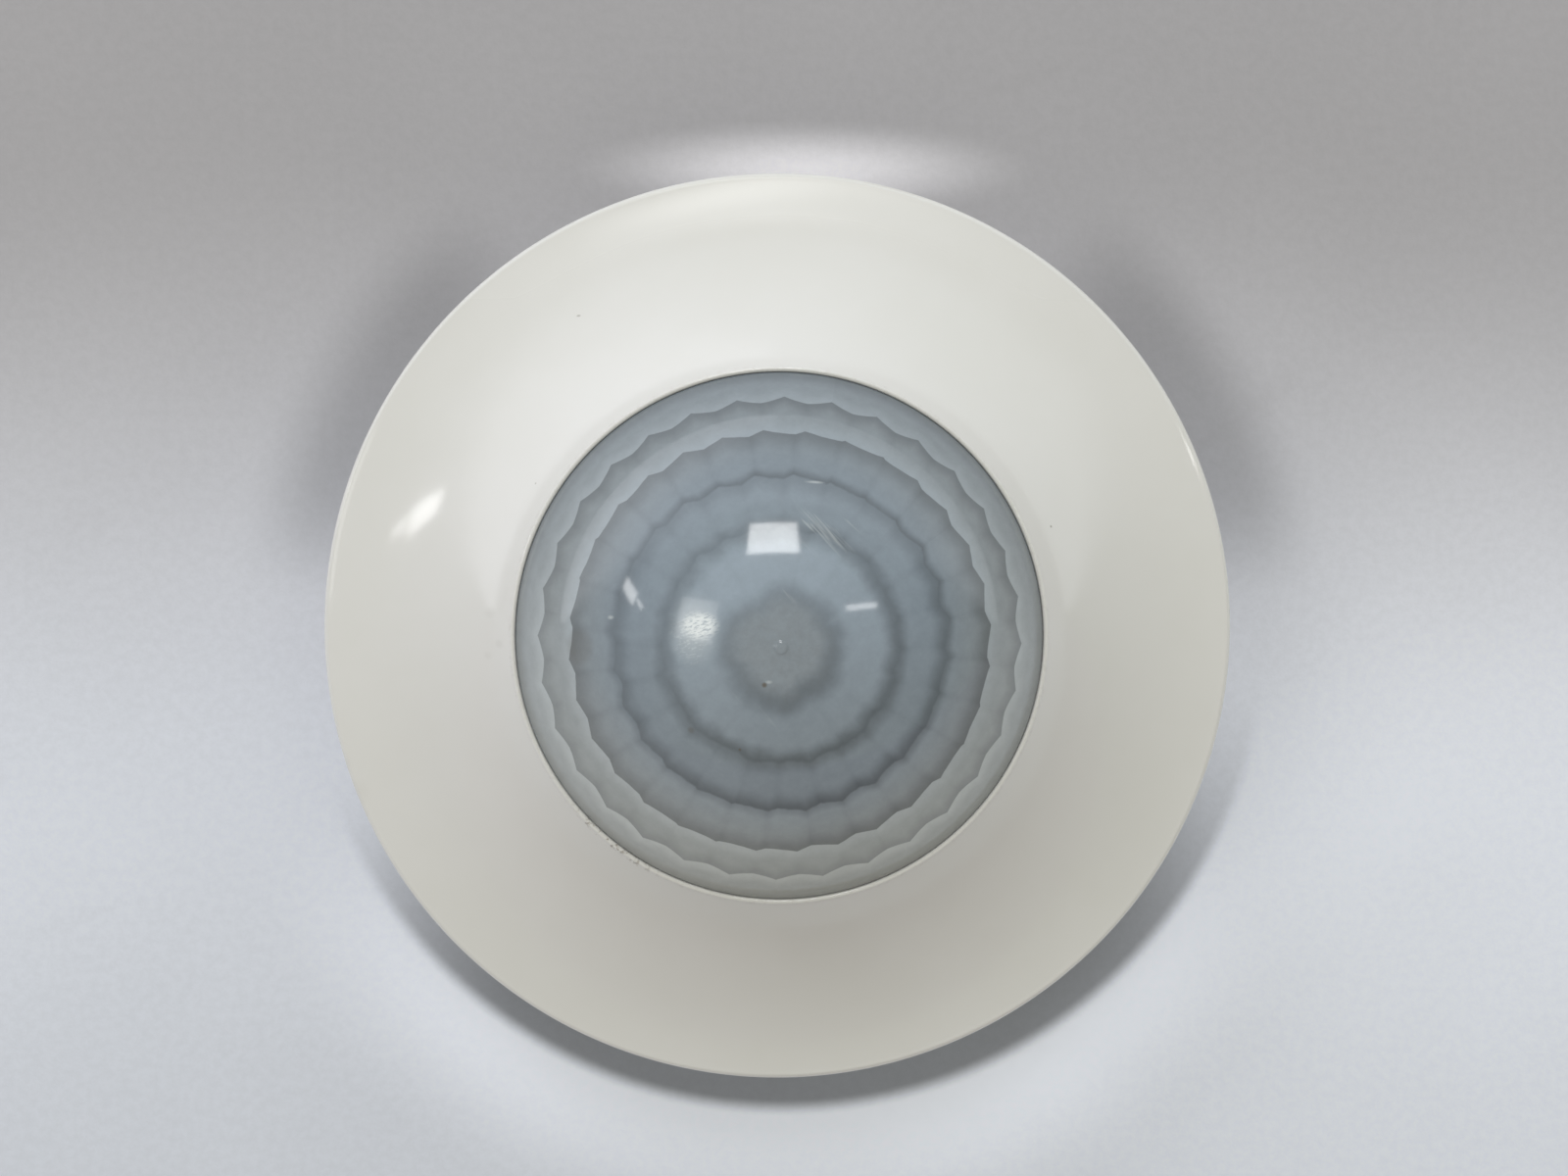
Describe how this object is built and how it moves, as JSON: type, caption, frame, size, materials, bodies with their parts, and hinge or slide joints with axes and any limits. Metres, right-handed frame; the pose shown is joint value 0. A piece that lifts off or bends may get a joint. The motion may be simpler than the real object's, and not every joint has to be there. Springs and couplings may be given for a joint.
{
  "type": "ceiling presence detector",
  "caption": "Round ceiling presence detector: glossy cover ring that curves up to a faceted milky dome lens, on a sheet metal frame and a cup-shaped insert for a wall box.",
  "frame": {"origin": "middle of the insert's flat rear face", "axes": "+Z out of the ceiling along the lens axis; +X runs from box screw slot to box screw slot; the terminals lie towards -Y"},
  "size_m": [0.108, 0.108, 0.0631],
  "materials": {
    "baffle_black": "matt",
    "board_green": "solder mask over glass fibre laminate",
    "can_nickel": "nickel plated, drawn",
    "capacitor_sleeve": "shrink sleeve",
    "carrier_grey": "fine satin",
    "choke_ferrite": "ferrite drum with sleeve",
    "contact_brass": "tinned brass strip",
    "cover_gloss_white": "glossy, slightly warm white",
    "epoxy_black": "moulded epoxy",
    "epoxy_clear": "clear epoxy",
    "film_yellow": "box moulding",
    "filter_dark": "coated silicon, mirror smooth",
    "head_white": "fine satin",
    "insert_grey": "fine spark texture",
    "lens_milky": "milky translucent moulding, glossy outside",
    "pin_gold": "gold flashed",
    "relay_black": "satin moulding",
    "screw_zinc": "zinc plated",
    "steel_zinc": "zinc plated sheet",
    "terminal_green": "satin",
    "varistor_blue": "dipped coating"
  },
  "bodies": {
    "root": {"choke": "choke_ferrite", "controller_chip": "epoxy_black", "cover_ring": "cover_gloss_white", "film_capacitor": "film_yellow", "fuse": "baffle_black", "head_base": "head_white", "insert_lid": "insert_grey", "ir_receiver": "epoxy_black", "lens_carrier": "carrier_grey", "lens_dome": "lens_milky", "lid_screws": "screw_zinc", "light_sensor": "epoxy_clear", "main_capacitor": "capacitor_sleeve", "mounting_frame": "steel_zinc", "plug_header": "baffle_black", "plug_pins": "pin_gold", "plug_socket": "baffle_black", "power_board": "board_green", "power_board_screws": "screw_zinc", "rear_housing": "insert_grey", "relay": "relay_black", "riser_board": "board_green", "sensor_baffle": "baffle_black", "sensor_board": "board_green", "sensor_board_screws": "screw_zinc", "sensor_can_1": "can_nickel", "sensor_can_2": "can_nickel", "sensor_can_3": "can_nickel", "sensor_can_4": "can_nickel", "sensor_window_1": "filter_dark", "sensor_window_2": "filter_dark", "sensor_window_3": "filter_dark", "sensor_window_4": "filter_dark", "status_led": "epoxy_clear", "terminal_block": "terminal_green", "terminal_contacts": "contact_brass", "varistor": "varistor_blue"}
  },
  "joints": []
}
